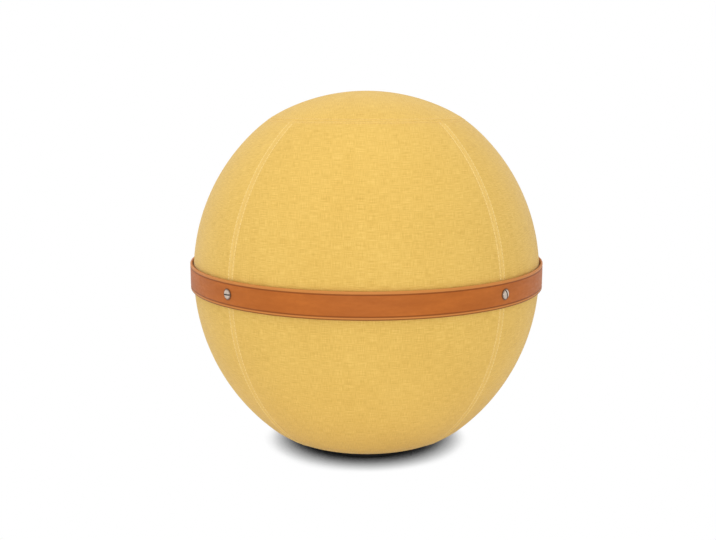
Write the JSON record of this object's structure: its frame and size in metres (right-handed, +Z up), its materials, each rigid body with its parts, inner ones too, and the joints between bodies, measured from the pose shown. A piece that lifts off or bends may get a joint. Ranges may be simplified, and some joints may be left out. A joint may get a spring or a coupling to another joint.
{
  "type": "sitting ball",
  "caption": "Upright sitting ball: an air bladder in a panelled, zipped fabric cover, with a screwed leather-look belt round its equator and a weighted non-slip foot.",
  "frame": {"origin": "on the floor under the ball's middle", "axes": "+Z up, -Y towards the front that the picture shows, +X to its right"},
  "size_m": [0.5596, 0.5595, 0.57],
  "materials": {
    "cover_fabric": "matte",
    "belt_leather": "satin",
    "belt_suede": "matte",
    "nickel": "polished",
    "seam_tape": "matte",
    "bladder_pvc": "satin",
    "plug_plastic": "gloss",
    "sole_rubber": "matte",
    "binding_tape": "matte",
    "ballast_sand": "matte",
    "pocket_cloth": "matte",
    "zip_tape": "matte",
    "zip_teeth": "satin",
    "zip_metal": "satin"
  },
  "bodies": {
    "ball": {"cover_top_cap": "cover_fabric", "cover_panel_front": "cover_fabric", "cover_panel_right": "cover_fabric", "cover_panel_back": "cover_fabric", "cover_panel_left": "cover_fabric", "belt_strap": "belt_leather", "belt_lining": "belt_suede", "belt_patches": "belt_suede", "belt_screws": "nickel", "belt_posts": "nickel", "cap_seam_tape": "seam_tape", "seam_tape_front_right": "seam_tape", "seam_tape_back_right": "seam_tape", "seam_tape_back_left": "seam_tape", "seam_tape_front_left": "seam_tape", "air_bladder": "bladder_pvc", "valve_plug": "plug_plastic", "base_sole": "sole_rubber", "base_binding": "binding_tape", "ballast_bag": "ballast_sand", "ballast_pocket": "pocket_cloth", "zip_tape_right": "zip_tape", "zip_tape_left": "zip_tape", "zip_teeth_right": "zip_teeth", "zip_teeth_left": "zip_teeth", "zip_stops": "zip_teeth"},
    "zip_slider": {"zip_slider": "zip_metal"},
    "zip_pull": {"zip_pull": "zip_metal"}
  },
  "joints": [
    {"name": "zip_slide", "type": "hinge", "parent": "ball", "child": "zip_slider", "pos_m": [-0.03034, -0.03034, 0.28248], "axis": [0.7071, -0.7071, 0], "range_deg": [0, 31.6], "deforming": ["zip_teeth_left", "zip_teeth_right"]},
    {"name": "zip_pull_swing", "type": "hinge", "parent": "zip_slider", "child": "zip_pull", "pos_m": [0.14354, 0.14354, 0.07686], "axis": [-0.7071, 0.7071, 0], "range_deg": [-132, 38]}
  ]
}
